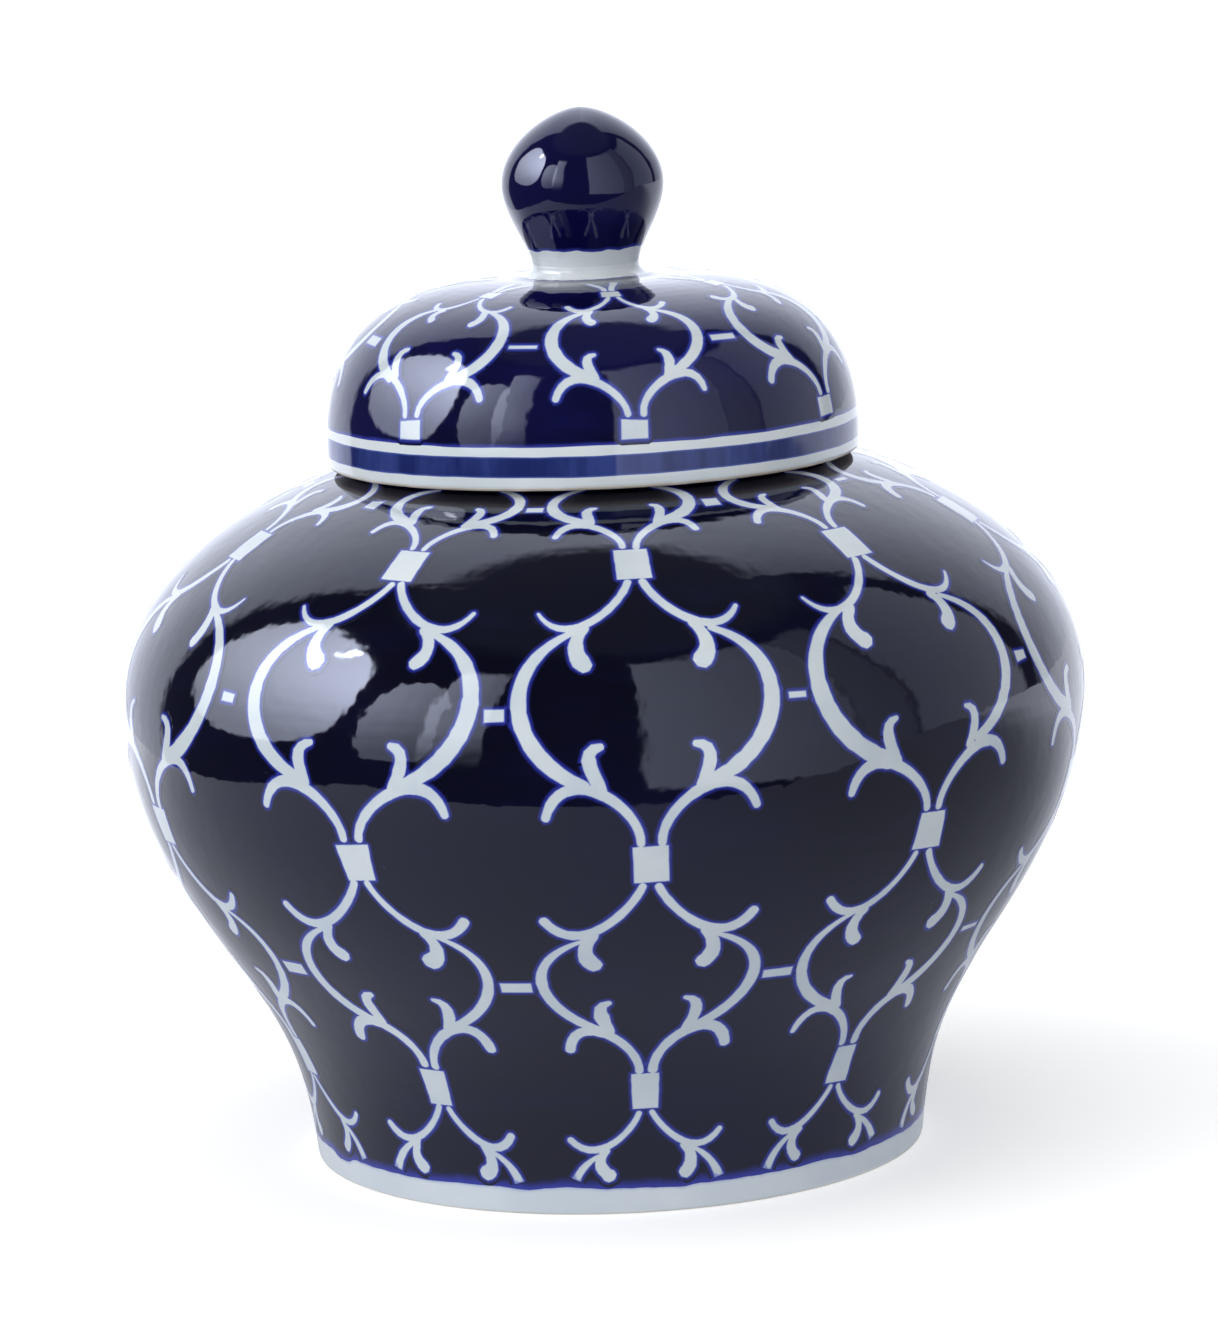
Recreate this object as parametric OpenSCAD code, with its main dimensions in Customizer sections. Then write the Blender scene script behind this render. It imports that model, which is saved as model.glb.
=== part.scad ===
// Lidded ginger jar: a porcelain jar, its domed cap lid and the lid's knob.
// Units mm, +Z up, the table top is z = 0 and the turning axis is x = y = 0.

/* [Jar] */
// Widest diameter, across the belly
belly_d = 240; // [220:1:260]
// Height of the widest point above the table
belly_z = 114; // [106:1:122]
// Outer diameter of the foot
foot_d = 152.8; // [140:0.2:164]
// Height where the shoulder meets the neck
shoulder_z = 174; // [170:0.5:182]
// Thickness of the thrown wall
wall = 5.5; // [4:0.25:7]

/* [Foot] */
// Width of the ring the jar stands on
ring_w = 8; // [6:0.5:12]
// Depth of the recess inside the ring
recess_h = 5; // [3:0.5:7]
// Thickness of the floor
floor_t = 7; // [5:0.5:9]

/* [Neck] */
// Outer diameter of the upright neck under the lid
neck_d = 118; // [112:0.5:120]
// Height of the neck above the shoulder
neck_h = 14; // [10:0.5:16]
// Thickness of the neck
neck_t = 5; // [4:0.25:6]

/* [Lid] */
// Outer diameter of the lid's skirt
lid_d = 132; // [130:0.5:136]
// Thickness of the lid
lid_t = 4.5; // [4:0.1:4.8]
// Height of the dome above the skirt
dome_h = 40.4; // [36:0.2:46]
// Height of the upright skirt
skirt_h = 4.4; // [3:0.1:6]

/* [Knob] */
// Widest diameter of the knob
knob_d = 40.2; // [34:0.2:46]
// Height of the knob above its collar
knob_h = 38; // [34:0.2:42]
// Narrowest diameter, where knob and collar meet
collar_d = 26.6; // [24:0.2:29]
// Thickness of the hollow knob's wall
knob_t = 4; // [3:0.25:5]
// Diameter of the vent that lets the knob's air out in the kiln
vent_d = 4; // [3:0.25:5]

/* [Hidden] */
seg = 28;
$fn = 96;
cobalt = [0.05, 0.05, 0.16];
porcelain = [0.88, 0.90, 0.88];
gap = 0.3;
rb = belly_d / 2;
rf = foot_d / 2;
rn = neck_d / 2;
rl = lid_d / 2;
rk = knob_d / 2;
rc = collar_d / 2;
mouth_r = rn - neck_t;
rim_z = shoulder_z + neck_h;
floor_z = recess_h + floor_t;
// the flank swings from the foot out to the belly through this point
swell = [rf + 0.468 * (rb - rf), 0.482 * belly_z];
swell_slope = 0.67;
foot_out = 1.75;
// the lid
seat_z = shoulder_z - 0.3;
dome_z = seat_z + skirt_h;
crown_z = dome_z + dome_h;
collar_z = crown_z + 3.4;
flare = 5.7;
socket_r = 8.3;
socket_h = 7;
tip_z = collar_z + knob_h;
knob_mid = collar_z + 0.505 * knob_h;

function mix(a, b, t) = a + (b - a) * t;
function bez(c, t) = pow(1 - t, 3) * c[0] + 3 * pow(1 - t, 2) * t * c[1]
    + 3 * (1 - t) * t * t * c[2] + pow(t, 3) * c[3];
function slope(c, t) = 3 * pow(1 - t, 2) * (c[1] - c[0]) + 6 * (1 - t) * t * (c[2] - c[1])
    + 3 * t * t * (c[3] - c[2]);
function inward(c, t, w) = let(d = slope(c, t)) bez(c, t) + w * [-d.y, d.x] / norm(d);
function run(c, a, b, n) = [for (i = [0 : n]) bez(c, mix(a, b, i / n))];
function inside(c, a, b, n, w) = [for (i = [0 : n]) inward(c, mix(a, b, i / n), w)];
function corner(m, r, a, b, n = 6) =
    [for (i = [0 : n]) m + r * [cos(mix(a, b, i / n)), sin(mix(a, b, i / n))]];

flank_low = [
    [rf, 0],
    [rf + foot_out, 0.427 * swell.y],
    swell - 19.45 * [swell_slope, 1],
    swell];
flank_high = [
    swell,
    swell + 13.8 * [swell_slope, 1],
    [rb, belly_z - 23.8],
    [rb, belly_z]];
shoulder = [
    [rb, belly_z],
    [rb, belly_z + 35.5],
    [rn + 23, shoulder_z - 7],
    [rn, shoulder_z]];
dome = [
    [rl, dome_z],
    [rl, dome_z + 18.5],
    [rl - 6.2, crown_z - 0.2],
    [rc + flare, crown_z]];
collar_curve = [
    [rc + flare, crown_z],
    [rc + 0.25 * flare, crown_z + 0.3],
    [rc, crown_z + 1.2],
    [rc, collar_z - 0.9]];
knob_low = [
    [rc, collar_z],
    [rc + 0.7, collar_z + 4.8],
    [rk, knob_mid - 7.2],
    [rk, knob_mid]];
knob_top = [
    [rk, knob_mid],
    [rk, knob_mid + 10.7],
    [0.35 * rk, tip_z],
    [0, tip_z]];

// One thrown shell: foot ring, belly, shoulder and upright neck
module jar_body()
    color(cobalt)
        rotate_extrude()
            polygon(concat(
                [[0, recess_h], [rf - ring_w - 3, recess_h]],
                corner([rf - ring_w - 3, recess_h - 3], 3, 80, 0),
                [[rf - ring_w, 1]],
                corner([rf - ring_w + 1, 1], 1, 190, 260),
                corner([rf - 1, 1], 1, 280, 350),
                run(flank_low, 0.03, 0.96, seg),
                run(flank_high, 0, 1, seg),
                run(shoulder, 0.04, 0.97, seg),
                corner([rn + 1.2, shoulder_z + 1.2], 1.2, 255, 185, 4),
                corner([rn - 2, rim_z - 2], 2, 0, 90),
                corner([mouth_r + 2, rim_z - 2], 2, 100, 180),
                [[mouth_r, shoulder_z - wall + 2]],
                inside(shoulder, 0.93, 0, seg, wall),
                inside(flank_high, 1, 0, seg, wall),
                inside(flank_low, 1, 0.55, 12, wall),
                run([inward(flank_low, 0.5, wall),
                    inward(flank_low, 0.36, wall),
                    [rf - 5, floor_z],
                    [rf - 22, floor_z]], 0, 1, 12),
                [[0, floor_z]]));

// Domed cap: skirt, dome, collar and the socket the knob is luted into
module lid()
    color(porcelain)
        rotate_extrude()
            polygon(concat(
                corner([rl - lid_t + 1, seat_z + 1], 1, 190, 260),
                corner([rl - 1.6, seat_z + 1.6], 1.6, 275, 355),
                run(dome, 0, 0.97, seg),
                run(collar_curve, 0, 1, 12),
                corner([rc - 0.6, collar_z - 0.6], 0.6, 0, 90, 4),
                [[socket_r, collar_z], [socket_r, collar_z - socket_h]],
                [[vent_d / 2, collar_z - socket_h], [vent_d / 2, crown_z - lid_t - 2.4]],
                [[socket_r + 1, crown_z - lid_t - 2.4], [socket_r + 5, crown_z - lid_t]],
                inside(dome, 0.9, 0, seg, lid_t)));

// Hollow knob with the spigot that sits in the lid's socket
module knob()
    color(cobalt)
        rotate_extrude()
            polygon(concat(
                [[vent_d / 2, collar_z - socket_h + gap], [socket_r - gap - 0.8, collar_z - socket_h + gap]],
                [[socket_r - gap, collar_z - socket_h + gap + 0.8], [socket_r - gap, collar_z]],
                corner([rc - 0.5, collar_z + 0.5], 0.5, 270, 350, 4),
                run(knob_low, 0.05, 1, seg),
                run(knob_top, 0.04, 1, seg),
                inside(knob_top, 1, 0, seg, knob_t),
                inside(knob_low, 1, 0.3, seg, knob_t),
                [[vent_d / 2, collar_z + 5]]));

jar_body();
lid();
knob();
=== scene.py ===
"""Looks of a blue and white ginger jar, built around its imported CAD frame.

Lengths inside the script are millimetres and angles radians, unless a name says otherwise. A point of the
painted surface is (turn, s): turn is the angle round the jar, 0 at the front and growing to the right, and s
is the distance along the meridian from its lower end. Every thin layer of glaze is a closed skin just under
the CAD surface, so the visual model stays inside the CAD box.
"""

import math
import random

import bpy
import numpy as np
from mathutils import Matrix, Vector
from mathutils.geometry import delaunay_2d_cdt
from mathutils.kdtree import KDTree


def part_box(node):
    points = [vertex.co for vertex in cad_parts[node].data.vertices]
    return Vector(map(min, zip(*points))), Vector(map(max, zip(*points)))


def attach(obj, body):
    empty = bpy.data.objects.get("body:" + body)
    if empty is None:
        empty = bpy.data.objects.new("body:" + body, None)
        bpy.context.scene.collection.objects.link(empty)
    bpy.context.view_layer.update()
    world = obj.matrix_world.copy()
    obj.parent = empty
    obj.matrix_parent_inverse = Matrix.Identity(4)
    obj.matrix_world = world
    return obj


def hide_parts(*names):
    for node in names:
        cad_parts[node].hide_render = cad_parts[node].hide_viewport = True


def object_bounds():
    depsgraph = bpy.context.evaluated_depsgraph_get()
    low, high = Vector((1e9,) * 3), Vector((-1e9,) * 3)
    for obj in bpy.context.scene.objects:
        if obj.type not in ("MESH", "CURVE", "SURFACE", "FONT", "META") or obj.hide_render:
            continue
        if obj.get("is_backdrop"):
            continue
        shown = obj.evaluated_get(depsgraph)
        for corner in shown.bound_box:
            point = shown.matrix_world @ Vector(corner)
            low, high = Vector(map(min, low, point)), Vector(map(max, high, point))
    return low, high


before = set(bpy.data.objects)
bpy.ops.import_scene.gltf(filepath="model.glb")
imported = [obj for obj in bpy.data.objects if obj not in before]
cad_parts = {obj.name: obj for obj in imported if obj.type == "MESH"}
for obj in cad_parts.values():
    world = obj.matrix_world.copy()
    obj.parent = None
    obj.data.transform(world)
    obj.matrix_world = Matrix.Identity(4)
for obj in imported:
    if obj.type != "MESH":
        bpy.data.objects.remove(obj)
cad_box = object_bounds()

MM = 0.001
AROUND = 256  # points round a turned piece
FAR_FROM_EDGE = 9.0  # stands for paint with no bare edge near it

# how deep each layer lies under the CAD surface
CLAY_DEPTH = 0.08
SKIN_DEPTH = 0.05
HALO_DEPTH = 0.025
INK_DEPTH = 0.0
SKIN_THICK = 0.1

rng = random.Random(41)


# ---------------------------------------------------------------- the turned outlines


def ring_points(node):
    """The corners of a turned node's outline as (r, z), and the pairs of them that are joined."""
    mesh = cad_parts[node].data
    co = np.empty(len(mesh.vertices) * 3, np.float32)
    mesh.vertices.foreach_get("co", co)
    co = co.reshape(-1, 3).astype(float) / MM
    rz = np.stack([np.hypot(co[:, 0], co[:, 1]), co[:, 2]], 1)
    grain = 0.02
    keys, ring = np.unique(np.round(rz / grain).astype(int), axis=0, return_inverse=True)
    ring = ring.ravel()
    apart = np.linalg.norm(keys[:, None] - keys[None], axis=2) * grain
    merged = np.argmax(apart < 2.5 * grain, axis=1)
    ring = np.unique(merged[merged][ring], return_inverse=True)[1].ravel()
    count = np.bincount(ring)
    points = np.stack([np.bincount(ring, rz[:, k]) / count for k in (0, 1)], 1)
    edges = np.empty(len(mesh.edges) * 2, np.int32)
    mesh.edges.foreach_get("vertices", edges)
    edges = np.sort(ring[edges.reshape(-1, 2)], axis=1)
    return points, np.unique(edges[edges[:, 0] != edges[:, 1]], axis=0)


def outline_of(node):
    """A turned node's outline as (r, z) in order, anticlockwise, and whether it is a closed ring."""
    points, pairs = ring_points(node)
    joined = {i: [] for i in range(len(points))}
    for a, b in pairs:
        joined[a].append(b)
        joined[b].append(a)
    ends = [i for i in joined if len(joined[i]) == 1]
    order = [ends[0] if ends else 0]
    while True:
        ahead = [i for i in joined[order[-1]] if i not in order[-2:] and i not in order]
        if not ahead:
            break
        order.append(ahead[0])
    line = points[order]
    if ends:
        line = np.array([[0, line[0][1]], *line, [0, line[-1][1]]])
        line = line[np.concatenate([[True], np.linalg.norm(np.diff(line, axis=0), axis=1) > 1e-3])]
    area = np.sum(line[:, 0] * np.roll(line[:, 1], -1) - np.roll(line[:, 0], -1) * line[:, 1])
    return (line if area > 0 else line[::-1]), not ends


class Meridian:
    """The painted outer stretch of a turned node's outline, from its lower end up."""

    def __init__(self, node, zero=None):
        line, _ = outline_of(node)
        d = np.diff(line, axis=0)
        lean = np.abs(np.degrees(np.arctan2(d[:, 1], d[:, 0])) - 90)  # 0 where the wall stands upright
        widest = int(np.argmax(line[:, 0] * 1000 - np.abs(line[:, 1] - line[:, 1].mean()) * 0.01))
        low = widest
        while low > 0 and lean[low - 1] < 65:
            low -= 1
        high, turned = widest, False
        while high < len(lean) and not (turned and lean[high] < 45):
            turned = turned or lean[high] > 60
            high += 1
        self.points = line[low : high + 1]
        step = np.linalg.norm(np.diff(self.points, axis=0), axis=1)
        self.s = np.concatenate([[0], np.cumsum(step)])
        self.s += self.points[0, 1] if zero is None else -np.interp(zero, self.points[:, 1], self.s)
        along = np.gradient(self.points, self.s, axis=0)
        along /= np.linalg.norm(along, axis=1)[:, None]
        self.normals = np.stack([along[:, 1], -along[:, 0]], 1)
        self.end = self.s[-1]

    def radius(self, s):
        return np.interp(s, self.s, self.points[:, 0])

    def s_at_height(self, z):
        return float(np.interp(z, self.points[:, 1], self.s))

    def flat(self, s, depth):
        """(r, z) of the points that lie depth under the surface at s."""
        r, z = (np.interp(s, self.s, self.points[:, k]) for k in (0, 1))
        nr, nz = (np.interp(s, self.s, self.normals[:, k]) for k in (0, 1))
        size = np.hypot(nr, nz)
        return r - depth * nr / size, z - depth * nz / size

    def place(self, turn, s, depth):
        """Points under the surface, in millimetres, and the surface's normal there."""
        r, z = self.flat(s, depth)
        nr, nz = (np.interp(s, self.s, self.normals[:, k]) for k in (0, 1))
        size = np.hypot(nr, nz)
        points = np.stack([r * np.sin(turn), -r * np.cos(turn), z], -1)
        normals = np.stack([nr * np.sin(turn), -nr * np.cos(turn), nz], -1) / size[..., None]
        return points, normals


# ---------------------------------------------------------------- mesh helpers


def make_piece(name, vertices, faces, material, body, slot, node=None, edge=None, normals=None):
    """A mesh object in metres that rides on a body.

    edge is the distance from each point to the border between blue and white, below 0 on the blue.
    """
    mesh = bpy.data.meshes.new(name)
    mesh.from_pydata((np.asarray(vertices) * MM).tolist(), [], faces)
    mesh.shade_smooth()
    if edge is not None:
        mesh.attributes.new("edge", "FLOAT", "POINT").data.foreach_set("value", np.asarray(edge, np.float32))
    if normals is None:
        mesh.set_sharp_from_angle(angle=math.radians(35))
    else:
        mesh.normals_split_custom_set_from_vertices(np.asarray(normals).tolist())
    mesh.materials.append(material)
    piece = bpy.data.objects.new(name, mesh)
    bpy.context.scene.collection.objects.link(piece)
    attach(piece, body)
    if node:
        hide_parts(node)
    return piece


def turned_mesh(rows, poles):
    """Points and faces of a turned solid. rows is (r, z) per row and angle, and a pole closes an end."""
    rows = np.asarray(rows, float)
    count, around = rows.shape[:2]
    turn = np.arange(around) * 2 * math.pi / around
    r, z = rows[..., 0], rows[..., 1]
    vertices = np.stack([r * np.sin(turn), -r * np.cos(turn), z], -1).reshape(-1, 3).tolist()
    faces = []
    for i in range(count - 1 if poles else count):
        a, b = i * around, (i + 1) % count * around
        for j in range(around):
            k = (j + 1) % around
            faces.append((a + j, a + k, b + k, b + j))
    if poles:
        for row, flip in ((0, False), (count - 1, True)):
            tip = len(vertices)
            vertices.append([0, 0, float(z[row].mean())])
            for j in range(around):
                a, b = row * around + j, row * around + (j + 1) % around
                faces.append((tip, a, b) if flip else (tip, b, a))
    return vertices, faces


def inset(line, closed, depth):
    """The outline moved into the solid by depth, with its corners kept sharp."""
    if closed:
        before, after = np.roll(line, 1, axis=0), np.roll(line, -1, axis=0)
    else:
        mirror = np.array([-1, 1])
        before = np.array([line[1] * mirror, *line[:-1]])
        after = np.array([*line[1:], line[-2] * mirror])
    sides = []
    for a, b in ((before, line), (line, after)):
        d = b - a
        d /= np.linalg.norm(d, axis=1)[:, None]
        sides.append(np.stack([d[:, 1], -d[:, 0]], 1))
    n0, n1 = sides
    return line - depth * (n0 + n1) / (1 + np.sum(n0 * n1, axis=1))[:, None]


def turned_core(name, node, material, body):
    """The whole fired shell of a node, a hair under its CAD surface."""
    line, closed = outline_of(node)
    line = inset(line, closed, CLAY_DEPTH)
    if not closed:
        line = line[1:-1]
    rows = np.repeat(line[:, None], AROUND, axis=1)
    vertices, faces = turned_mesh(rows, not closed)
    return make_piece(name, vertices, faces, material, body, "white_glaze", node)


def wiped_ring(name, node, low, high, material, body):
    """The unglazed stretch of a turned node's outline that lies between two heights."""
    line, closed = outline_of(node)
    inside = (line[:, 1] > low) & (line[:, 1] < high)
    start = int(np.where(inside & ~np.roll(inside, 1))[0][0])
    order = (start + np.arange(int(inside.sum()))) % len(line)
    outer, inner = (inset(line, closed, depth)[order] for depth in (0.02, CLAY_DEPTH + 0.15))
    loop = np.concatenate([outer, inner[::-1]])
    vertices, faces = turned_mesh(np.repeat(loop[:, None], AROUND, axis=1), False)
    make_piece(name, vertices, faces, material, body, "biscuit")


def wave(size, scale, seed):
    """A closed, slightly wavering line round the jar, as a painter's brush leaves it."""
    own = random.Random(seed)
    turn = np.arange(AROUND) * 2 * math.pi / AROUND
    total = np.zeros(AROUND)
    for k in range(1, 9):
        n = max(1, round(scale * k * own.uniform(0.6, 1.4)))
        total += np.sin(n * turn + own.uniform(0, 2 * math.pi)) / k**0.7
    return size * total / np.abs(total).max()


def drips(count, most, seed):
    """How far the glaze runs down past its line round the jar, in a few separate drops."""
    own = random.Random(seed)
    turn = np.arange(AROUND) * 2 * math.pi / AROUND
    total = np.zeros(AROUND)
    for k in range(count):
        away = (turn - (k + own.uniform(0.15, 0.6)) * 2 * math.pi / count + math.pi) % (2 * math.pi) - math.pi
        total += most * own.uniform(0.2, 1) * np.exp(-((away / own.uniform(0.03, 0.07)) ** 4))
    return total


def painted_band(
    name, meridian, low, high, material, body, slot, steps, depth=SKIN_DEPTH, bare=(True, True), bleed=1.0
):
    """A closed skin of glaze between two wavering lines.

    bare says which of its edges meet white, and bleed widens the thinned stretch along them.
    """
    low, high = (np.broadcast_to(np.asarray(x, float), AROUND) for x in (low, high))
    t = np.linspace(0, 1, steps)[:, None]
    s = low + t * (high - low)
    outer = np.stack(meridian.flat(s, depth), -1)
    inner = np.stack(meridian.flat(s, depth + SKIN_THICK), -1)[::-1]
    vertices, faces = turned_mesh(np.concatenate([outer, inner]), False)
    far = np.full(s.shape, FAR_FROM_EDGE)
    if bare[0]:
        far = np.minimum(far, s - low)
    if bare[1]:
        far = np.minimum(far, high - s)
    edge = np.concatenate([far, far[::-1]]).ravel() / bleed
    return make_piece(name, vertices, faces, material, body, slot, edge=-edge)


# ---------------------------------------------------------------- the painted trellis

HALO = 1.3  # how far the cobalt is thinned round a white stroke
RIM = 0.35  # the stroke's blue rim
STATION = 1.5  # distance between cross sections of a stroke


class Stroke:
    """One brush stroke of half a lantern: four control points and four widths."""

    def __init__(self, points, widths):
        self.points = np.array(points, float)
        self.widths = np.array(widths, float)


# Across, 1 is half the distance between two columns. Up is millimetres from the nearer square, for ornaments
# of the largest size.
UPPER_HOOK = Stroke([(0.05, -1), (0.14, -9), (0.51, -21), (0.71, -10)], [2.0, 2.0, 2.9, 2.6])
UPPER_LEAF = Stroke([(0.39, -14.3), (0.46, -17.5), (0.475, -21), (0.38, -23.6)], [2.8, 2.6, 4.2, 4.0])
LOWER_HOOK = Stroke([(0.06, 1.2), (0.06, 10.3), (0.56, 22), (0.656, 8.4)], [2.3, 2.1, 3.8, 2.4])
LOWER_LEAF = Stroke([(0.31, 14.2), (0.345, 16.8), (0.44, 23.4), (0.29, 24.2)], [2.6, 3.4, 3.8, 1.5])
# Up is the share of the way from the upper joint down to the lower one.
SIDE_ARC = Stroke([(0.467, 0.01), (1.0, 0.22), (0.876, 0.775), (0.394, 0.97)], [1.6, 4.2, 4.8, 3.4])
# The stems above the lid's top squares, which run in under the collar.
STEM = Stroke([(0.06, 1.0), (0.07, 4), (0.17, 6.5), (0.27, 9.5)], [1.5, 1.5, 1.7, 1.9])
UPPER_JOINT = -15
LOWER_JOINT = 14


def bezier(points, t):
    a, b, c, d = points
    t = t.reshape(-1, *([1] * (np.ndim(points) - 1)))
    return a * (1 - t) ** 3 + 3 * b * (1 - t) ** 2 * t + 3 * c * (1 - t) * t**2 + d * t**3


class Ribbon:
    """Cross sections of a stroke.

    It holds where they are, the half widths of the paint and of its halo, and where the paint shows.
    """

    def __init__(self, meridian, centre, half, blunt=False):
        r = meridian.radius(centre[:, 1])
        scale = np.stack([r, np.ones_like(r)], 1)
        d = np.gradient(centre, axis=0) * scale
        along = d / np.linalg.norm(d, axis=1)[:, None]
        stations, paint, halo = [], [], []
        for end in (0, -1):
            side = -1 if end == 0 else 1
            h = half[end]
            steps = [0.6 * HALO, HALO] if blunt else [0.6 * h, 0.92 * h, h + 0.45 * HALO, h + HALO]
            for e in steps:
                stations.append(centre[end] + side * along[end] * e / scale[end])
                paint.append(h if blunt else math.sqrt(max(h * h - e * e, 0)))
                if blunt:
                    halo.append(h + HALO * math.sqrt(1 - (e / HALO) ** 2) * 0.8)
                else:
                    halo.append(math.sqrt(max((h + HALO) ** 2 - e * e, 0.01)))
        n = len(steps)
        order = [*range(n - 1, -1, -1)], [*range(n, 2 * n)]
        pick = lambda a, k: [a[i] for i in order[k]]
        self.centre = np.array([*pick(stations, 0), *centre, *pick(stations, 1)])
        self.paint = np.array([*pick(paint, 0), *half, *pick(paint, 1)])
        self.halo = np.array([*pick(halo, 0), *(half + HALO), *pick(halo, 1)])
        self.along = np.array([along[0]] * n + [*along] + [along[-1]] * n)
        skip = n if blunt else 2
        count = len(self.centre) - 1
        self.shows = np.array([skip <= i < count - skip for i in range(count)])
        if not blunt:
            self.paint[[0, 1, -2, -1]] = 0
            self.paint[[2, -3]] = 0.12 * half[[0, -1]]

    def clipped(self, low, high):
        """The stretches of the ribbon whose cross sections lie between two values of s."""
        inside = (self.centre[:, 1] > low) & (self.centre[:, 1] < high)
        cuts = np.where(np.diff(inside.astype(int)))[0] + 1
        for part in np.split(np.arange(len(inside)), cuts):
            if inside[part[0]] and len(part) > 2:
                piece = Ribbon.__new__(Ribbon)
                piece.centre, piece.paint = self.centre[part], self.paint[part]
                piece.halo, piece.along = self.halo[part], self.along[part]
                piece.shows = self.shows[part[:-1]]
                yield piece

    def sections(self, meridian):
        """Seven points across each section, as (turn, s)."""
        core = np.maximum(self.paint - RIM, self.paint * 0.3)
        across = np.stack([-self.halo, -self.paint, -core, 0 * core, core, self.paint, self.halo], 1)
        left = np.stack([-self.along[:, 1], self.along[:, 0]], 1)
        scale = np.stack([meridian.radius(self.centre[:, 1]), np.ones(len(self.centre))], 1)
        return self.centre[:, None] + across[..., None] * (left / scale)[:, None]


def brush(meridian, column, half_pitch, side, stroke, place, wide, u_scale, tip=1.0):
    """A stroke of one lantern half, painted by an unsteady hand."""
    control = stroke.points.copy()
    widths = stroke.widths * wide * rng.uniform(0.92, 1.1)
    widths[-1] *= tip * rng.uniform(0.75, 1.25)
    control[:, 1] = place(control[:, 1])
    control[:, 0] = column(control[:, 1]) + side * control[:, 0] * u_scale * half_pitch
    for k in range(4):
        control[k, 1] += rng.gauss(0, 0.3)
        control[k, 0] += rng.gauss(0, 0.3) / float(meridian.radius(control[k, 1]))
    fine = bezier(control, np.linspace(0, 1, 40))
    r = meridian.radius(fine[:, 1])
    step = np.hypot(np.diff(fine[:, 0]) * (r[1:] + r[:-1]) / 2, np.diff(fine[:, 1]))
    far = np.concatenate([[0], np.cumsum(step)])
    t = np.interp(np.linspace(0, far[-1], max(9, int(far[-1] / STATION))), far, np.linspace(0, 1, 40))
    half = bezier(widths, t) / 2
    half = half * (1 + np.array([rng.gauss(0, 0.035) for _ in t]))
    return Ribbon(meridian, bezier(control, t), half)


def patch(meridian, turn, low, high, width):
    """A painted square or bar: four sides, none of them quite straight."""
    length, across = max(high - low, width), min(high - low, width)
    inner = np.linspace(RIM, length - RIM, max(3, int(length / STATION)))
    far = np.array([0, *inner, length]) - length / 2
    tilt = rng.gauss(0, 0.04)
    r = float(meridian.radius(low))
    if high - low >= width:
        centre = np.stack([turn + tilt * far / r, (low + high) / 2 + far], 1)
    else:
        centre = np.stack([turn + far / r, (low + high) / 2 + tilt * far], 1)
    taper = rng.gauss(0, 0.05) * 2 * far / length
    half = across / 2 * (1 + taper + np.array([rng.gauss(0, 0.012) for _ in far]))
    return Ribbon(meridian, centre, half, blunt=True)


class Lantern:
    """One cell of the trellis between two squares of a column."""

    def __init__(
        self, low, high, size=1.0, size_low=None, arc=1.0, wide=1.0, lean_in=1.0, tip=1.0, parts="both"
    ):
        self.low, self.high = low, high
        self.size_high, self.size_low = size, size_low or size
        self.arc, self.wide, self.lean_in, self.tip, self.parts = arc, wide, lean_in, tip, parts

    def up(self, y):
        return self.high + y * self.size_high

    def down(self, y):
        return self.low + y * self.size_low

    def between(self, y):
        top, bottom = self.up(UPPER_JOINT), self.down(LOWER_JOINT)
        return top + y * (bottom - top)

    def strokes(self, meridian, column, half_pitch):
        made = []
        for side in (-1, 1):
            if self.parts == "stem":
                made.append(brush(meridian, column, half_pitch, side, STEM, self.down, self.wide, 1.0))
                continue
            own = [(SIDE_ARC, self.between, self.arc, self.wide, 1.0)]
            if self.parts in ("both", "upper"):
                thin = 0.8 * self.size_high + 0.2
                own += [
                    (UPPER_HOOK, self.up, self.lean_in, thin, self.tip),
                    (UPPER_LEAF, self.up, self.lean_in, thin, 1.0),
                ]
            if self.parts in ("both", "lower"):
                thin = 0.8 * self.size_low + 0.2
                own += [(LOWER_HOOK, self.down, 1.0, thin, 1.0), (LOWER_LEAF, self.down, 1.0, thin, 1.0)]
            for stroke, place, u_scale, wide, tip in own:
                made.append(brush(meridian, column, half_pitch, side, stroke, place, wide, u_scale, tip))
        return made


def triangulate(meridian, ribbons, middle):
    """One flat triangulation of overlapping ribbons: its points, its triangles and which are painted."""
    reach = float(np.median(meridian.points[:, 0]))
    points, faces, painted = [], [], []
    for ribbon in ribbons:
        sections = ribbon.sections(meridian)
        base = len(points)
        flat = sections.reshape(-1, 2)
        points += [Vector(((p[0] - middle) * reach, p[1])) for p in flat]
        for i, shows in enumerate(ribbon.shows):
            for k in range(6):
                a, b = base + i * 7 + k, base + (i + 1) * 7 + k
                faces += [(a, b, b + 1), (a, b + 1, a + 1)]
                painted += [bool(shows) and 0 < k < 5] * 2
    keep, flags = [], []
    for face, flag in zip(faces, painted):
        corners = [points[i] for i in face]
        area = sum(p.x * q.y - q.x * p.y for p, q in zip(corners, corners[1:] + corners[:1])) / 2
        if abs(area) > 1e-4:
            keep.append(face if area > 0 else face[::-1])
            flags.append(flag)
    out, _, tris, _, _, origin = delaunay_2d_cdt(points, [], keep, 0, 1e-5)
    pairs = np.array([(k, i) for k, faces_under in enumerate(origin) for i in faces_under])
    before = np.array([(p.x, p.y) for p in points])
    after = np.array([(p.x, p.y) for p in out])
    tris = np.array(tris)
    inside = within(after[tris].mean(axis=1)[pairs[:, 0]], before[np.array(keep)][pairs[:, 1]])
    pairs = pairs[inside]
    inked = np.isin(np.arange(len(tris)), pairs[np.array(flags)[pairs[:, 1]], 0])
    covered = np.isin(np.arange(len(tris)), pairs[:, 0])
    return after / [reach, 1] + [middle, 0], tris[covered], inked[covered]


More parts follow.
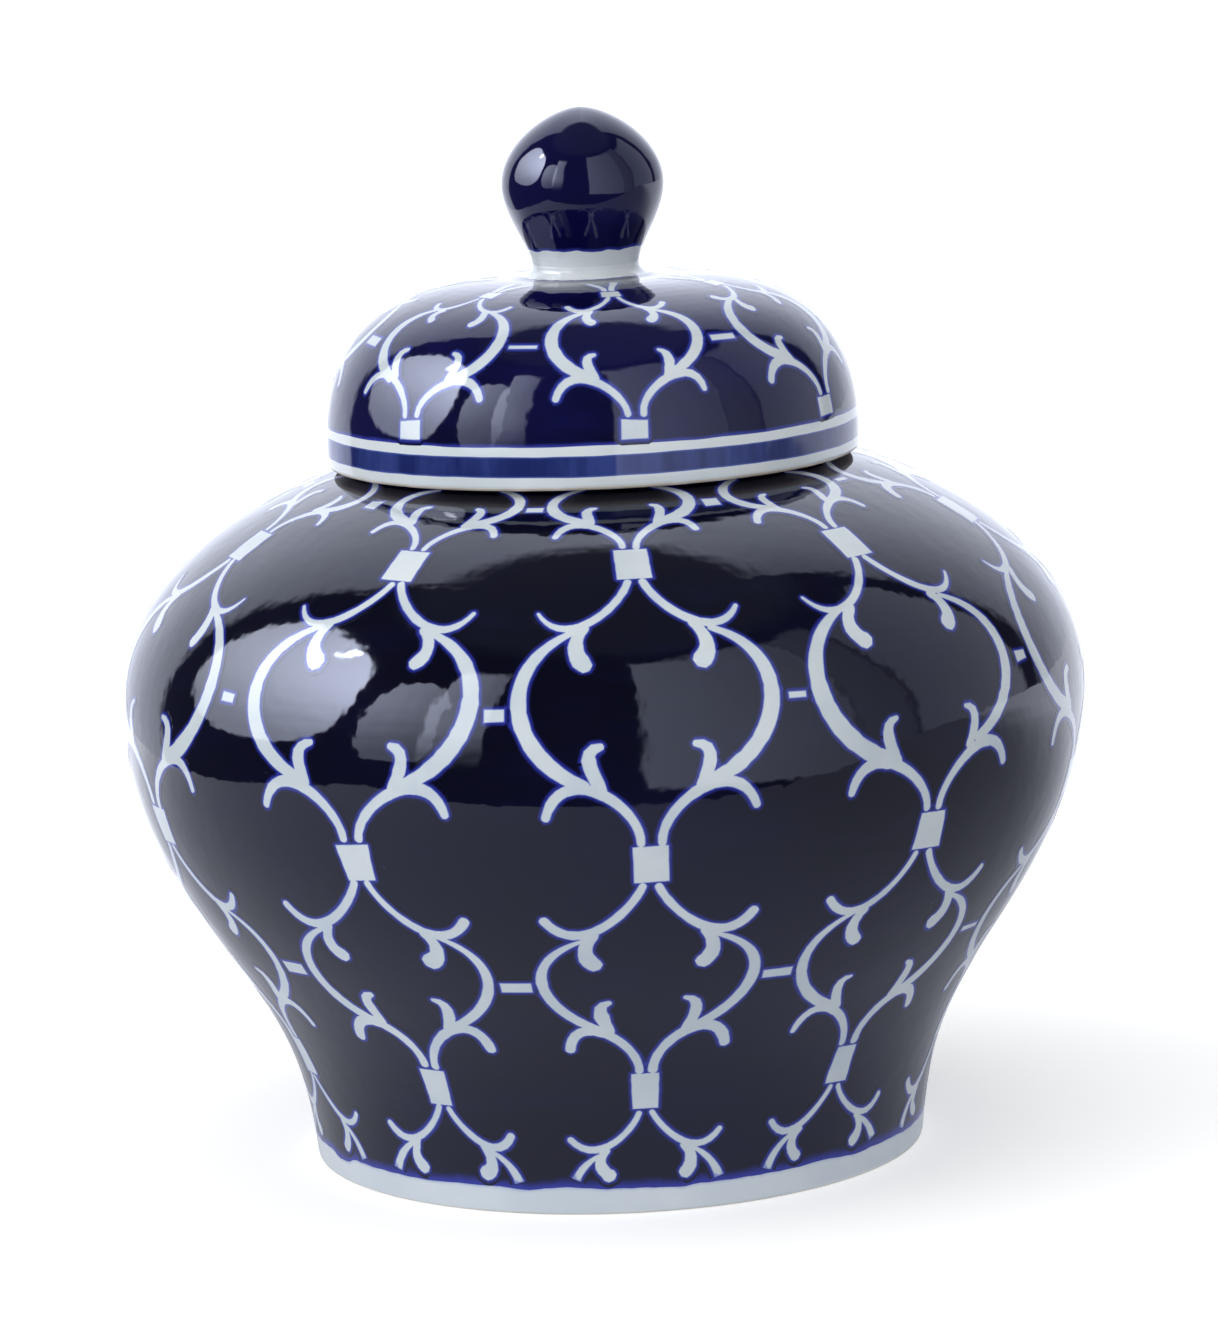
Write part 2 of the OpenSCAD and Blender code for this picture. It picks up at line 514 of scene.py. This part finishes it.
def within(points, corners):
    """Whether each point lies inside its own anticlockwise triangle."""
    sides = np.roll(corners, -1, axis=1) - corners
    to_point = points[:, None] - corners
    return np.all(sides[..., 0] * to_point[..., 1] > sides[..., 1] * to_point[..., 0], axis=1)


def shell_from(flat, tris, meridian, depth, thick):
    """A closed thin solid over flat triangles: points, faces, normals and the index of each point in flat."""
    used, index = np.unique(tris, return_inverse=True)
    tris = index.reshape(-1, 3)
    n = len(used)
    turn, s = flat[used, 0], flat[used, 1]
    top, normal = meridian.place(turn, s, depth)
    bottom, _ = meridian.place(turn, s, depth + thick)
    edges = np.concatenate([tris[:, [0, 1]], tris[:, [1, 2]], tris[:, [2, 0]]])
    code = edges[:, 0] * n + edges[:, 1]
    rim = edges[~np.isin(code, edges[:, 1] * n + edges[:, 0])]
    walls = np.stack([rim[:, 1], rim[:, 0], rim[:, 0] + n, rim[:, 1] + n], 1)
    faces = [*tris.tolist(), *(tris[:, ::-1] + n).tolist(), *walls.tolist()]
    return np.concatenate([top, bottom]), faces, np.concatenate([normal, -normal]), used, rim


def paint_trellis(prefix, meridian, cells, body, materials, shares=1):
    """Turns flat cells into closed pieces: white strokes and the thinned cobalt round them.

    Each of the two is made as this many pieces, so that none of them is too heavy to keep whole.
    """
    shells = {"trellis": [], "halo": []}
    for flat, tris, inked in cells:
        shells["trellis"].append(shell_from(flat, tris[inked], meridian, INK_DEPTH, SKIN_DEPTH + SKIN_THICK))
        thick = SKIN_DEPTH + SKIN_THICK - HALO_DEPTH
        shells["halo"].append(shell_from(flat, tris[~inked], meridian, HALO_DEPTH, thick))
    borders = np.concatenate([points[np.unique(rim)] for points, _, _, _, rim in shells["trellis"]])
    tree = KDTree(len(borders))
    for i, p in enumerate(borders):
        tree.insert(p, i)
    tree.balance()
    for kind, slot in (("trellis", "white_glaze"), ("halo", "cobalt_glaze")):
        count = len(shells[kind])
        for share in range(shares):
            vertices, faces, normals, edge = [], [], [], []
            first, last = count * share // shares, count * (share + 1) // shares
            for points, own, normal, used, _ in shells[kind][first:last]:
                base = sum(len(v) for v in vertices)
                vertices.append(points)
                normals.append(normal)
                faces += [tuple(i + base for i in f) for f in own]
                far = np.array([tree.find(p)[2] for p in points[: len(used)]])
                edge.append(np.concatenate([far, far]))
            edge = np.concatenate(edge)
            make_piece(
                f"{prefix}_{kind}" + (f"_{share + 1}" if shares > 1 else ""),
                np.concatenate(vertices),
                faces,
                materials[kind],
                body,
                slot,
                edge=edge if kind == "trellis" else -edge,
                normals=np.concatenate(normals),
            )


def trellis_cells(meridian, first, count, lanterns, squares, bars, limits):
    """The flat cells of a trellis: one per column, and one per bar between two columns."""
    pitch = 2 * math.pi / count
    sways = [(rng.gauss(0, 0.006), rng.gauss(0, 0.006)) for _ in range(count)]
    if count == COLUMNS:
        sways = [SWAY.get(i, sway) for i, sway in enumerate(sways)]

    def centre_line(i):
        shift, tip = sways[i % count]
        return lambda s: first + i * pitch + shift + tip * (s / meridian.end * 2 - 1)

    cells = []
    for i in range(count):
        lean, beyond = centre_line(i), centre_line(i + 1)
        column = first + i * pitch
        ribbons = []
        for lantern in lanterns:
            ribbons += lantern.strokes(meridian, lean, pitch / 2)
        for low, high, width in squares:
            ribbons.append(patch(meridian, lean(low) + rng.gauss(0, 0.003), low, high, width))
        ribbons = [part for r in ribbons for part in r.clipped(*limits)]
        cells.append(triangulate(meridian, ribbons, column))
        for s, height, width in bars:
            turn = (lean(s) + beyond(s)) / 2 + rng.gauss(0, 0.003)
            tall, wide = height * rng.uniform(0.85, 1.15), width * rng.uniform(0.9, 1.08)
            bar = patch(meridian, turn, s - tall / 2 + rng.gauss(0, 0.6), s + tall / 2, wide)
            cells.append(triangulate(meridian, [*bar.clipped(*limits)], turn))
    return cells


# ---------------------------------------------------------------- materials

GLAZE_IOR = 1.5
MIRROR_TINT = (0.86, 0.89, 1.0, 1)  # the cobalt glaze mirrors a little blue


def srgb(r, g, b):
    """A colour as a painter reads it, 0 to 255, turned into the renderer's linear light."""
    channel = lambda c: c / 12.92 if c <= 0.04045 else ((c + 0.055) / 1.055) ** 2.4
    return (*(channel(x / 255) for x in (r, g, b)), 1)


class Nodes:
    """Short ways to add and link shader nodes."""

    def __init__(self, name):
        self.material = bpy.data.materials.new(name)
        self.material.use_nodes = True
        self.tree = self.material.node_tree
        self.shader = self.tree.nodes["Principled BSDF"]
        self.place = self.tree.nodes.new("ShaderNodeTexCoord").outputs["Object"]

    def link(self, source, target):
        self.tree.links.new(source, target)

    def noise(self, scale, detail=3.0, stretch=(1, 1, 1), rough=0.5):
        mapping = self.tree.nodes.new("ShaderNodeMapping")
        mapping.inputs["Scale"].default_value = stretch
        self.link(self.place, mapping.inputs["Vector"])
        node = self.tree.nodes.new("ShaderNodeTexNoise")
        node.inputs["Scale"].default_value = scale
        node.inputs["Detail"].default_value = detail
        node.inputs["Roughness"].default_value = rough
        self.link(mapping.outputs[0], node.inputs["Vector"])
        return node.outputs["Fac"]

    def specks(self, scale, size):
        """1 on small sparse dots and 0 elsewhere."""
        node = self.tree.nodes.new("ShaderNodeTexVoronoi")
        node.inputs["Scale"].default_value = scale
        self.link(self.place, node.inputs["Vector"])
        return self.remap(node.outputs["Distance"], size, size * 0.4)

    def remap(self, value, low, high, out_low=0.0, out_high=1.0):
        node = self.tree.nodes.new("ShaderNodeMapRange")
        node.interpolation_type = "SMOOTHSTEP"
        for name, x in (("From Min", low), ("From Max", high), ("To Min", out_low), ("To Max", out_high)):
            node.inputs[name].default_value = x
        self.link(value, node.inputs["Value"])
        return node.outputs["Result"]

    def maths(self, how, a, b):
        node = self.tree.nodes.new("ShaderNodeMath")
        node.operation = how
        for socket, x in zip(node.inputs, (a, b)):
            if isinstance(x, (int, float)):
                socket.default_value = x
            else:
                self.link(x, socket)
        return node.outputs[0]

    def mix(self, factor, a, b):
        node = self.tree.nodes.new("ShaderNodeMix")
        node.data_type = "RGBA"
        self.link(factor, node.inputs["Factor"])
        for name, x in (("A", a), ("B", b)):
            socket = next(i for i in node.inputs if i.name == name and i.type == "RGBA")
            if isinstance(x, tuple):
                socket.default_value = x
            else:
                self.link(x, socket)
        return next(o for o in node.outputs if o.type == "RGBA")

    def edge(self):
        node = self.tree.nodes.new("ShaderNodeAttribute")
        node.attribute_name = "edge"
        return node.outputs["Fac"]

    def bump(self, height, strength, distance, under=None):
        node = self.tree.nodes.new("ShaderNodeBump")
        node.inputs["Strength"].default_value = strength
        node.inputs["Distance"].default_value = distance
        self.link(height, node.inputs["Height"])
        if under:
            self.link(under, node.inputs["Normal"])
        return node.outputs["Normal"]

    def finish(self, colour, roughness, normal):
        self.link(colour, self.shader.inputs["Base Color"])
        self.link(roughness, self.shader.inputs["Roughness"])
        self.link(normal, self.shader.inputs["Normal"])
        self.shader.inputs["IOR"].default_value = GLAZE_IOR
        return self.material


def glaze_surface(nodes):
    """The glassy top of a glaze: a slow ripple, a fine orange peel and a few pinholes."""
    ripple = nodes.bump(nodes.noise(40, 2.0), 0.42, 0.0006)
    peel = nodes.bump(nodes.noise(240, 1.0), 0.24, 0.0002, ripple)
    return nodes.bump(nodes.specks(95, 0.02), 0.3, 0.0001, peel)


def cobalt_glaze(name, deep, pooled, brushed, thin):
    """Dark cobalt under a clear glaze, thin and bright round white paint."""
    nodes = Nodes(name)
    cloud = nodes.remap(nodes.noise(16, 5.0), 0.35, 0.7)
    strokes = nodes.remap(nodes.noise(34, 4.0, (1, 1, 4)), 0.45, 0.8)
    colour = nodes.mix(cloud, deep, pooled)
    colour = nodes.mix(nodes.maths("MULTIPLY", strokes, 0.3), colour, brushed)
    fade = nodes.remap(nodes.edge(), -HALO, 0.0)
    fade = nodes.maths("POWER", fade, nodes.remap(nodes.noise(140, 3.0), 0.3, 0.7, 1.1, 2.2))
    colour = nodes.mix(fade, colour, thin)
    speck = nodes.maths("MULTIPLY", nodes.specks(60, 0.03), 0.5)
    colour = nodes.mix(speck, colour, srgb(60, 64, 110))
    roughness = nodes.remap(nodes.noise(25, 3.0), 0.3, 0.75, 0.03, 0.06)
    nodes.shader.inputs["Specular Tint"].default_value = MIRROR_TINT
    nodes.shader.inputs["Specular IOR Level"].default_value = 0.6
    return nodes.finish(colour, roughness, glaze_surface(nodes))


def white_paint():
    """The reserved white of the trellis, with cobalt bled into its rim."""
    nodes = Nodes("trellis_white")
    tone = nodes.mix(nodes.remap(nodes.noise(45, 4.0), 0.35, 0.7), srgb(203, 213, 220), srgb(217, 225, 229))
    streak = nodes.maths("MULTIPLY", nodes.remap(nodes.noise(120, 4.0, (1, 1, 0.5)), 0.5, 0.8), 0.35)
    tone = nodes.mix(streak, tone, srgb(184, 200, 226))
    rim = nodes.remap(nodes.edge(), 0.0, RIM)
    colour = nodes.mix(rim, srgb(128, 146, 208), tone)
    roughness = nodes.remap(nodes.noise(25, 3.0), 0.3, 0.75, 0.03, 0.06)
    return nodes.finish(colour, roughness, glaze_surface(nodes))


def porcelain():
    """White glaze over the clay, a little warmer where it pools."""
    nodes = Nodes("porcelain")
    tone = nodes.mix(nodes.remap(nodes.noise(22, 4.0), 0.35, 0.7), srgb(214, 224, 229), srgb(230, 236, 238))
    speck = nodes.maths("MULTIPLY", nodes.specks(50, 0.022), 0.6)
    colour = nodes.mix(speck, tone, srgb(150, 140, 128))
    roughness = nodes.remap(nodes.noise(25, 3.0), 0.3, 0.75, 0.05, 0.1)
    return nodes.finish(colour, roughness, glaze_surface(nodes))


def blue_wash():
    """The lid's band: cobalt brushed on thin, in short upright strokes."""
    nodes = Nodes("blue_wash")
    streaks = nodes.remap(nodes.noise(150, 4.0, (1, 1, 0.12)), 0.35, 0.7)
    colour = nodes.mix(streaks, srgb(28, 40, 100), srgb(52, 68, 134))
    blot = nodes.maths("MULTIPLY", nodes.remap(nodes.noise(40, 3.0), 0.5, 0.75), 0.5)
    colour = nodes.mix(blot, colour, srgb(22, 30, 86))
    colour = nodes.mix(nodes.remap(nodes.edge(), -0.5, 0.0), colour, srgb(80, 100, 180))
    roughness = nodes.remap(nodes.noise(25, 3.0), 0.3, 0.75, 0.04, 0.08)
    return nodes.finish(colour, roughness, glaze_surface(nodes))


def foot_white():
    """White glaze just under the cobalt, blued where it runs down."""
    nodes = Nodes("foot_white")
    tone = nodes.mix(nodes.remap(nodes.noise(30, 4.0), 0.35, 0.7), srgb(212, 222, 230), srgb(226, 233, 238))
    run = nodes.remap(nodes.edge(), -1.6, 0.0)
    ragged = nodes.remap(nodes.noise(220, 3.0, (1, 1, 0.4)), 0.3, 0.7, 0.3, 1.0)
    colour = nodes.mix(nodes.maths("MULTIPLY", run, ragged), tone, srgb(120, 142, 206))
    roughness = nodes.remap(nodes.noise(25, 3.0), 0.3, 0.75, 0.05, 0.1)
    return nodes.finish(colour, roughness, glaze_surface(nodes))


def biscuit():
    """Bare fired clay, wiped clean of glaze where jar and lid touch and where the foot stands."""
    nodes = Nodes("biscuit")
    tone = nodes.mix(nodes.remap(nodes.noise(60, 6.0), 0.3, 0.7), srgb(214, 203, 186), srgb(232, 224, 210))
    grit = nodes.specks(700, 0.12)
    colour = nodes.mix(nodes.maths("MULTIPLY", grit, 0.5), tone, srgb(150, 126, 100))
    rub = nodes.maths("MULTIPLY", nodes.remap(nodes.noise(18, 3.0), 0.55, 0.8), 0.4)
    colour = nodes.mix(rub, colour, srgb(176, 164, 150))
    grain = nodes.bump(nodes.noise(900, 4.0), 0.35, 0.0002)
    roughness = nodes.remap(nodes.noise(120, 3.0), 0.3, 0.7, 0.7, 0.9)
    return nodes.finish(colour, roughness, nodes.bump(nodes.noise(110, 3.0), 0.2, 0.0003, grain))


# ---------------------------------------------------------------- the jar

COLUMNS = 10
FRONT_COLUMN = math.radians(4.7)
# how far the columns that are off the even spacing stand off it, and how far they lean over their height
SWAY = {0: (0.0, 0.008), 1: (-0.013, 0.005), 9: (0.018, 0.027)}
FOOT_WHITE = 7.0  # height of the foot's white band
COLLAR_WHITE = 16.2  # radius inside which the lid's crown is white
KNOB_START = 225.5  # height at which the knob's cobalt starts
LID_COLUMNS = 7
LID_FRONT_COLUMN = math.radians(9.6)


def build_jar(paint):
    meridian = Meridian("jar_body")
    turned_core("jar_porcelain", "jar_body", paint["porcelain"], "jar")
    foot_edge = FOOT_WHITE + wave(0.5, 9, 3) - drips(9, 1.5, 4)
    painted_band(
        "jar_foot_band", meridian, 1.2, foot_edge + 0.6, paint["foot"], "jar", "white_glaze", 12,
        depth=CLAY_DEPTH - 0.015, bare=(False, True),
    )
    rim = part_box("jar_body")[1].z / MM
    wiped_ring("jar_rim_biscuit", "jar_body", rim - 1.2, rim + 1, paint["biscuit"], "jar")
    wiped_ring("jar_foot_biscuit", "jar_body", -1, 0.3, paint["biscuit"], "jar")
    painted_band(
        "jar_cobalt", meridian, foot_edge, meridian.end - 0.3, paint["cobalt"], "jar", "cobalt_glaze", 190,
        bare=(True, False), bleed=2.6,
    )
    lanterns = [
        Lantern(186, 224.5, 0.75, arc=0.92, wide=0.75, parts="lower"),
        Lantern(108, 175.4, tip=0.4),
        Lantern(38.5, 98.5, arc=0.96, wide=0.76),
        Lantern(-24, 28, 0.75, arc=0.92, wide=0.72, parts="upper"),
    ]
    squares = [(175.4, 185.9, 8.3), (98.5, 108, 8.4), (28, 38.5, 6.6)]
    bars = [(204, 2.0, 4.6), (140, 2.9, 5.0), (68, 2.3, 7.8)]
    limits = (FOOT_WHITE + 1.1, meridian.end - 0.6)
    cells = trellis_cells(meridian, FRONT_COLUMN, COLUMNS, lanterns, squares, bars, limits)
    glazes = {"trellis": paint["white"], "halo": paint["cobalt"]}
    paint_trellis("jar", meridian, cells, "jar", glazes, shares=4)


def build_lid(paint):
    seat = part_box("lid")[0].z / MM
    meridian = Meridian("lid", zero=seat + 1.6)
    turned_core("lid_porcelain", "lid", paint["porcelain"], "lid")
    wiped_ring("lid_seat_biscuit", "lid", seat - 1, seat + 0.8, paint["biscuit"], "lid")
    low, high = 1.7 + wave(0.15, 6, 5), 6.7 + wave(0.12, 7, 6)
    painted_band("lid_band", meridian, low, high, paint["wash"], "lid", "cobalt_glaze", 10)
    crown_edge = meridian.end - collar_paint(meridian) + wave(0.4, 5, 8)
    skirt_edge = 9.0 + wave(0.15, 7, 7)
    cobalt = paint["cobalt_lid"]
    painted_band("lid_cobalt", meridian, skirt_edge, crown_edge, cobalt, "lid", "cobalt_glaze", 80)
    lanterns = [
        Lantern(14.8, 55.3, 0.56, 0.71, arc=0.9, wide=0.76, lean_in=0.85),
        Lantern(59.5, 80, parts="stem"),
    ]
    squares = [(10.1, 14.8, 6.6), (55.3, 59.5, 5.0)]
    bars = [(34, 2.0, 7.4)]
    limits = (9.8, float(np.min(crown_edge)) - 0.4)
    cells = trellis_cells(meridian, LID_FRONT_COLUMN, LID_COLUMNS, lanterns, squares, bars, limits)
    paint_trellis("lid", meridian, cells, "lid", {"trellis": paint["white"], "halo": paint["cobalt_lid"]})


def collar_paint(meridian):
    """How far below the collar's top the lid's cobalt stops."""
    near_top = meridian.s > meridian.end - 12
    radii = meridian.points[near_top, 0]
    return meridian.end - float(np.interp(-COLLAR_WHITE, -radii, meridian.s[near_top]))


def build_knob(paint):
    meridian = Meridian("knob", zero=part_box("lid")[1].z / MM)
    turned_core("knob_porcelain", "knob", paint["porcelain"], "lid")
    start = meridian.s_at_height(KNOB_START) + wave(0.35, 4, 11)
    t = np.linspace(0, 1, 60)[:, None] ** 0.9
    s = start + t * (meridian.end - 0.05 - start)
    outer = np.stack(meridian.flat(s, SKIN_DEPTH), -1)
    inner = np.stack(meridian.flat(s, SKIN_DEPTH + SKIN_THICK), -1)[::-1]
    vertices, faces = turned_mesh(np.concatenate([inner, outer]), True)
    edge = np.concatenate([(s - start)[::-1].ravel(), (s - start).ravel(), [FAR_FROM_EDGE] * 2])
    joint_glaze(meridian, paint)
    make_piece("knob_cobalt", vertices, faces, paint["cobalt_lid"], "lid", "cobalt_glaze", edge=-edge)


def joint_glaze(knob, paint):
    """The fillet of glaze that covers the joint between the lid's collar and the knob."""
    lid = Meridian("lid")
    ends = [
        (lid.points[-1], lid.points[-1] - lid.points[-3]),
        (knob.points[6], knob.points[4] - knob.points[8]),
    ]
    (low, rise), (high, fall) = ((p, d / np.linalg.norm(d)) for p, d in ends)
    reach = 0.4 * np.linalg.norm(high - low)
    line = bezier(np.array([low, low + reach * rise, high + reach * fall, high]), np.linspace(0, 1, 16))
    along = np.gradient(line, axis=0)
    side = np.stack([along[:, 1], -along[:, 0]], 1) / np.linalg.norm(along, axis=1)[:, None]
    swell = 0.12 * np.sin(np.linspace(0, math.pi, 16))[:, None] - 0.06
    loop = np.concatenate([line + side * swell, (line - side * 0.6)[::-1]])
    vertices, faces = turned_mesh(np.repeat(loop[:, None], AROUND, axis=1), False)
    make_piece("collar_glaze", vertices, faces, paint["porcelain"], "lid", "white_glaze")


# each cobalt is given where it is deep, where it pooled, where the brush thinned it and beside white
BODY_COBALT = srgb(4, 4, 20), srgb(7, 7, 32), srgb(13, 13, 52), srgb(46, 54, 158)
LID_COBALT = srgb(6, 5, 40), srgb(12, 12, 62), srgb(18, 20, 84), srgb(52, 62, 164)

paint = {
    "cobalt": cobalt_glaze("cobalt_body", *BODY_COBALT),
    "cobalt_lid": cobalt_glaze("cobalt_lid", *LID_COBALT),
    "white": white_paint(),
    "porcelain": porcelain(),
    "wash": blue_wash(),
    "foot": foot_white(),
    "biscuit": biscuit(),
}
build_jar(paint)
build_lid(paint)
build_knob(paint)


# ---------------------------------------------------------------- stage, light and camera


class Sky:
    """The studio round the jar as soft-edged panels of light, by bearing and height in degrees."""

    def __init__(self):
        world = bpy.data.worlds.new("studio")
        bpy.context.scene.world = world
        world.use_nodes = True
        self.tree = world.node_tree
        place = self.tree.nodes.new("ShaderNodeTexCoord").outputs["Generated"]
        split = self.tree.nodes.new("ShaderNodeSeparateXYZ")
        self.tree.links.new(place, split.inputs[0])
        back = self.maths("MULTIPLY", split.outputs["Y"], -1.0)
        self.bearing = self.maths("MULTIPLY", self.maths("ARCTAN2", split.outputs["X"], back), 180 / math.pi)
        self.height = self.maths("MULTIPLY", self.maths("ARCSINE", split.outputs["Z"], 0.0), 180 / math.pi)
        self.total = None

    def maths(self, how, a, b):
        node = self.tree.nodes.new("ShaderNodeMath")
        node.operation = how
        for socket, x in zip(node.inputs, (a, b)):
            if isinstance(x, (int, float)):
                socket.default_value = x
            else:
                self.tree.links.new(x, socket)
        return node.outputs[0]

    def remap(self, value, low, high, out_low=0.0, out_high=1.0, how="SMOOTHSTEP"):
        node = self.tree.nodes.new("ShaderNodeMapRange")
        node.interpolation_type = how
        node.clamp = how != "LINEAR"
        for name, x in (("From Min", low), ("From Max", high), ("To Min", out_low), ("To Max", out_high)):
            node.inputs[name].default_value = x
        self.tree.links.new(value, node.inputs["Value"])
        return node.outputs["Result"]

    def round_panel(self, left, right, low, high, level, level_right, bend=2.6, soft=0.08):
        """A softbox with round corners, brighter toward its top."""
        spans = ((self.bearing, left, right), (self.height, low, high))
        across, up = (self.remap(value, a, b, -1.0, 1.0, "LINEAR") for value, a, b in spans)
        powers = [self.maths("POWER", self.maths("ABSOLUTE", x, 0.0), bend) for x in (across, up)]
        shape = self.remap(self.maths("ADD", *powers), 1.0 + soft, 1.0 - soft)
        for part in (
            self.remap(self.bearing, left, right, level, level_right, "LINEAR"),
            self.remap(up, -1.0, 0.6, 0.35, 1.0),
        ):
            shape = self.maths("MULTIPLY", shape, part)
        self.total = shape if self.total is None else self.maths("ADD", self.total, shape)

    def panel(self, left, right, low, high, level, level_right=None, soft=2.0, soft_low=2.0, soft_high=2.0):
        """A square-cornered panel, which may grow or fade from its left side to its right."""
        level_right = level if level_right is None else level_right
        parts = [
            self.remap(self.bearing, left - soft / 2, left + soft / 2),
            self.remap(self.bearing, right + soft / 2, right - soft / 2),
            self.remap(self.height, low - soft_low / 2, low + soft_low / 2),
            self.remap(self.height, high + soft_high / 2, high - soft_high / 2),
            self.remap(self.bearing, left, right, level, level_right, "LINEAR"),
        ]
        shape = parts[0]
        for part in parts[1:]:
            shape = self.maths("MULTIPLY", shape, part)
        self.total = shape if self.total is None else self.maths("ADD", self.total, shape)

    def finish(self, base):
        shader = self.tree.nodes["Background"]
        self.tree.links.new(self.maths("ADD", self.total, base), shader.inputs["Strength"])
        shader.inputs["Color"].default_value = (0.88, 0.93, 1.08, 1)


def lamp(name, heading, spread, strength):
    """A far, wide, soft light that shines along heading and that glossy glaze doesn't mirror."""
    data = bpy.data.lights.new(name, "SUN")
    data.angle, data.energy = math.radians(spread), strength
    light = bpy.data.objects.new(name, data)
    bpy.context.scene.collection.objects.link(light)
    light.rotation_euler = Vector(heading).to_track_quat("-Z", "Y").to_euler()
    light.visible_glossy = False


def studio_light():
    lamp("overhead", (0, 0.15, -1), 80, 1.7)
    lamp("key", (1, 0.25, -0.75), 60, 0.85)
    lamp("front", (0.1, 1, 0.25), 110, 1.8)
    lamp("left", (1, 0.3, 0.3), 90, 1.1)
    lamp("right", (-1, 0.3, 0.4), 90, 0.75)
    lamp("back", (-0.2, -1, -0.2), 90, 0.4)
    sky = Sky()
    sky.round_panel(-120, -66, 2, 50, 5.0, 13.0)  # softbox on the left
    sky.round_panel(-89, -83, 43, 49, 30, 30)  # its bulb
    sky.round_panel(-61, -40, 0, 42, 4.6, 2.4, bend=3.2)  # its neighbour, nearer the camera
    sky.panel(-44, -29, 8, 50, 3.6, 1.9, soft=1.5, soft_low=26, soft_high=3)
    sky.panel(9, 61, -15, 57, 1.45, 0.7, soft=1.5, soft_low=2, soft_high=3)  # grey panels on the right
    sky.panel(61, 78, -15, 57, 0.5, 0.35, soft=4, soft_low=2, soft_high=3)
    sky.panel(79, 118, -16, 53, 0.66, 0.85, soft=2, soft_low=2, soft_high=3)
    sky.panel(126, 181, -25, 66, 0.8, 2.1, soft=4, soft_low=2, soft_high=6)  # pale wall behind
    sky.panel(-181, -129, -25, 66, 1.9, 1.3, soft=4, soft_low=2, soft_high=6)
    sky.panel(-181, 181, 62, 91, 0.1, soft=0.1, soft_low=8)
    sky.finish(0.06)
    bpy.context.scene.world.cycles_visibility.diffuse = False


def plane(name, low, high, z, material):
    """A flat rectangle from low to high, as (x, y) in metres."""
    (x0, y0), (x1, y1) = low, high
    mesh = bpy.data.meshes.new(name)
    mesh.from_pydata([(x0, y0, z), (x1, y0, z), (x1, y1, z), (x0, y1, z)], [], [(0, 1, 2, 3)])
    mesh.materials.append(material)
    piece = bpy.data.objects.new(name, mesh)
    bpy.context.scene.collection.objects.link(piece)
    piece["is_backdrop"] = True
    return piece


def build_stage():
    floor = Nodes("pale_floor")
    tone = floor.mix(floor.noise(3, 2.0), (0.86, 0.86, 0.86, 1), (0.88, 0.88, 0.88, 1))
    floor.link(tone, floor.shader.inputs["Base Color"])
    floor.shader.inputs["Roughness"].default_value = 0.9
    floor.shader.inputs["Specular IOR Level"].default_value = 0.1
    floor.shader.inputs["Emission Color"].default_value = (1, 1, 1, 1)
    floor.shader.inputs["Emission Strength"].default_value = 0.45
    ground = plane("floor", (-12, -12), (12, 12), 0.0, floor.material)
    ground.visible_glossy = ground.visible_diffuse = ground.visible_shadow = False

    # A glowing card just under the floor that the glaze mirrors and that lights the jar from below: it is
    # painted floor light, not a lamp.
    card = Nodes("painted_floor_light")
    split = card.tree.nodes.new("ShaderNodeSeparateXYZ")
    card.link(card.place, split.inputs[0])
    # painted shadow: the glow fades toward the right, where the jar's shadow falls on the floor
    side = card.remap(split.outputs["X"], -0.55, 0.35, 0.85, 0.4)
    # painted light: the glow grows toward the back, where the floor is lit brightest
    back = card.remap(split.outputs["Y"], 0.02, 0.5, 0.0, 1.1)
    glow = card.tree.nodes.new("ShaderNodeEmission")
    card.link(card.maths("ADD", side, back), glow.inputs["Strength"])
    glow.inputs["Color"].default_value = (0.91, 0.95, 1.06, 1)
    card.link(glow.outputs[0], card.tree.nodes["Material Output"].inputs["Surface"])
    table = plane("painted_floor_light", (-0.5, -0.385), (4, 6), -0.0004, card.material)
    table.visible_camera = table.visible_shadow = False

    cyc = Nodes("pale_wall")
    glow = cyc.tree.nodes.new("ShaderNodeEmission")
    glow.inputs["Strength"].default_value = 1.0
    cyc.link(glow.outputs[0], cyc.tree.nodes["Material Output"].inputs["Surface"])
    rows = [[(11.5 * math.cos(a) / MM, 11.5 * math.sin(a) / MM)] * 48 for a in np.linspace(-0.02, 1.5, 12)]
    vertices, faces = turned_mesh(rows, True)
    mesh = bpy.data.meshes.new("backdrop")
    mesh.from_pydata((np.asarray(vertices) * MM).tolist(), [], faces)
    mesh.materials.append(cyc.material)
    dome = bpy.data.objects.new("backdrop", mesh)
    bpy.context.scene.collection.objects.link(dome)
    dome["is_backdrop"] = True
    dome.visible_diffuse = dome.visible_glossy = dome.visible_transmission = dome.visible_shadow = False


def build_camera():
    """The view: 1.39 m in front, a third of a metre up, turned a little so the jar leans left."""
    data = bpy.data.cameras.new("camera")
    data.sensor_width = 36
    data.lens = 154
    camera = bpy.data.objects.new("camera", data)
    bpy.context.scene.collection.objects.link(camera)
    camera.location = (0, -1.3866, 0.3546)
    aim = Vector((0.00183, 0, 0.1222)) - camera.location
    turn = aim.to_track_quat("-Z", "Y").to_matrix()
    camera.rotation_euler = (turn @ Matrix.Rotation(math.radians(-2.3), 3, "Z")).to_euler()
    bpy.context.scene.camera = camera


studio_light()
build_stage()
build_camera()
bpy.context.scene.view_settings.view_transform = "Standard"

boxes = {"cad": cad_box, "visual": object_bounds()}
{name: [list(map(float, corner)) for corner in box] for name, box in boxes.items()}
